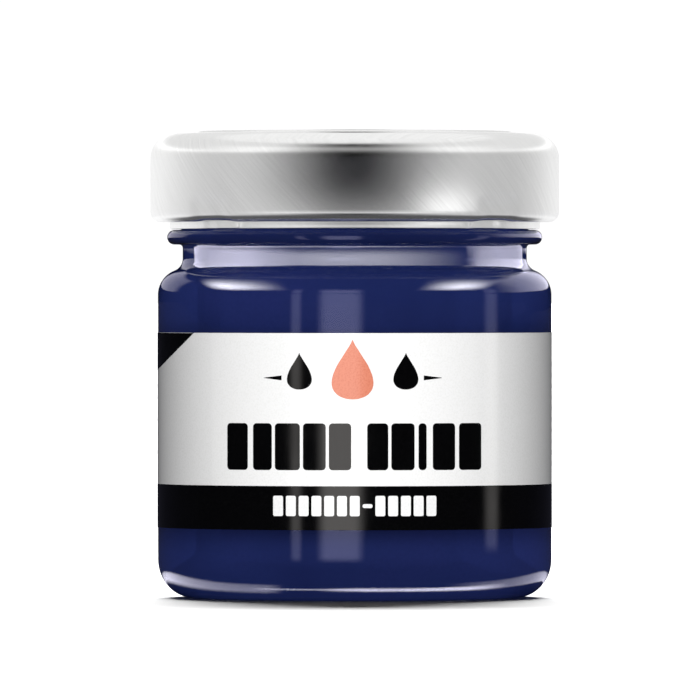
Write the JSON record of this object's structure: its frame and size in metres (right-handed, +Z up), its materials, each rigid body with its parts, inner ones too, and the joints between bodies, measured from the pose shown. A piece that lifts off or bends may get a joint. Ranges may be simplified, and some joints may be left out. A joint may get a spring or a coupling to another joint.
{
  "type": "paint jar",
  "caption": "Small round glass jar of blue glass paint with a wrap-around label and a twist-off metal lug lid.",
  "frame": {"origin": "centre of the underside of the base, on the surface that the jar stands on", "axes": "+Z up along the jar's axis, -Y out of the front of the label, +X to the right seen from the front"},
  "size_m": [0.0462, 0.0462, 0.0527],
  "materials": {
    "clear_glass": "polished",
    "blue_paint": "gloss",
    "printed_label": "satin",
    "brushed_lid": "satin",
    "sealing_compound": "matte"
  },
  "bodies": {
    "jar": {"jar_glass": "clear_glass", "paint": "blue_paint", "label": "printed_label"},
    "lid_rising": {"lid_gasket": "sealing_compound"},
    "lid": {"lid_shell": "brushed_lid"}
  },
  "joints": [
    {"name": "lid_rise", "type": "slide", "parent": "jar", "child": "lid_rising", "axis": [0, 0, 1], "range_m": [0, 0.0141]},
    {"name": "lid_turn", "type": "hinge", "parent": "lid_rising", "child": "lid", "pos_m": [0, 0, 0.0424], "axis": [0, 0, 1], "range_deg": [0, 360]}
  ],
  "couplings": [
    {"joint": "lid_rise", "follows": "lid_turn", "m_per_rad": 0.0022282}
  ]
}
